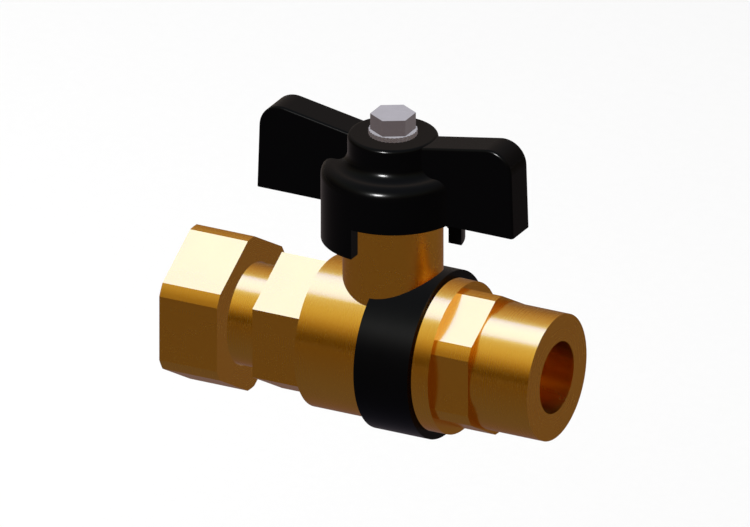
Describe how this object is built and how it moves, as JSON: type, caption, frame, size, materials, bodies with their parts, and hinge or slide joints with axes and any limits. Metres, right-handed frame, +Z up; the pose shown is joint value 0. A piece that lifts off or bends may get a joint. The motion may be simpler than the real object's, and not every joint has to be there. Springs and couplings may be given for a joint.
{
  "type": "isolating valve",
  "caption": "Quarter-turn ball isolating valve with a brass body, a loose union nut at the inlet, a male outlet end and a black wing handle.",
  "frame": {"origin": "centre of the male outlet end's face, on the pipe axis", "axes": "+X along the pipe out of the male end, +Z up the stem towards the handle, +Y to the back of the valve, where the handle's stop lug is"},
  "size_m": [0.0825, 0.0348, 0.0682],
  "materials": {
    "brass": "turned, polished",
    "chromed_ball": "polished",
    "black_handle": "glossy",
    "black_band": "satin",
    "zinc_steel": "zinc plated",
    "zinc_washer": "zinc plated, serrated",
    "white_seal": "waxy",
    "black_rubber": "satin",
    "spring_wire": "drawn",
    "gasket_sheet": "fibre"
  },
  "bodies": {
    "body": {"valve_body": "brass", "end_adapter": "brass", "inlet_seat": "white_seal", "outlet_seat": "white_seal", "body_o_ring": "black_rubber", "thrust_washer": "white_seal", "packing_ring_lower": "white_seal", "packing_ring_upper": "white_seal", "gland_follower": "brass", "gland_nut": "brass", "marking_band": "black_band", "retaining_ring": "spring_wire", "union_gasket": "gasket_sheet"},
    "closure": {"handle": "black_handle", "stem": "brass", "ball": "chromed_ball", "stem_o_ring_lower": "black_rubber", "stem_o_ring_upper": "black_rubber", "lock_washer": "zinc_washer", "handle_bolt": "zinc_steel"},
    "nut": {"union_nut": "brass"}
  },
  "joints": [
    {"name": "handle_turn", "type": "hinge", "parent": "body", "child": "closure", "pos_m": [-0.03715, 0, 0], "axis": [0, 0, 1], "range_deg": [-90, 0]},
    {"name": "nut_spin", "type": "hinge", "parent": "body", "child": "nut", "pos_m": [-0.0759, 0, 0], "axis": [1, 0, 0], "continuous": true}
  ]
}
